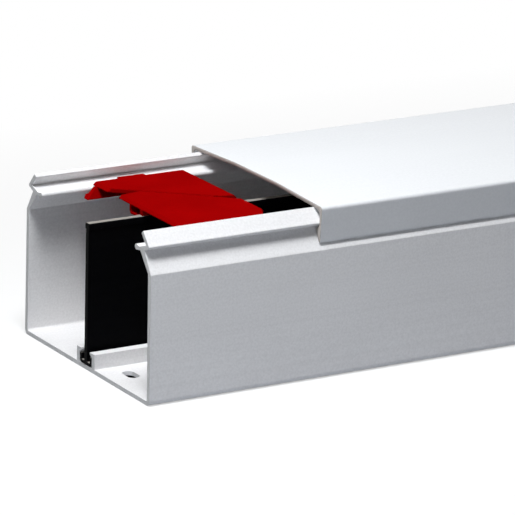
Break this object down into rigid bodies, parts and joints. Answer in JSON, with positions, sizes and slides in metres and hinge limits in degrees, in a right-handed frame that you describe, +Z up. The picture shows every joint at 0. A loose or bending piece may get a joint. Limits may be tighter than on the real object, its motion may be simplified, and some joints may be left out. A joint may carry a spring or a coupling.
{
  "type": "cable trunking length with lid",
  "caption": "White PVC cable trunking: U-shaped base with barbed edges, clip-on lid set back from one end, black partition and a red cable retainer across the mouth.",
  "frame": {"origin": "middle of the underside of the base", "axes": "+X along the stock away from the end that shows, +Y across it, +Z up out of the mouth"},
  "size_m": [2, 0.09, 0.0623],
  "materials": {
    "white_pvc": "satin extruded PVC",
    "black_pvc": "satin extruded PVC",
    "red_plastic": "matt moulded plastic"
  },
  "bodies": {
    "root": {"trunking_base": "white_pvc", "lid": "white_pvc", "divider": "black_pvc", "cable_retainer": "red_plastic"}
  },
  "joints": []
}
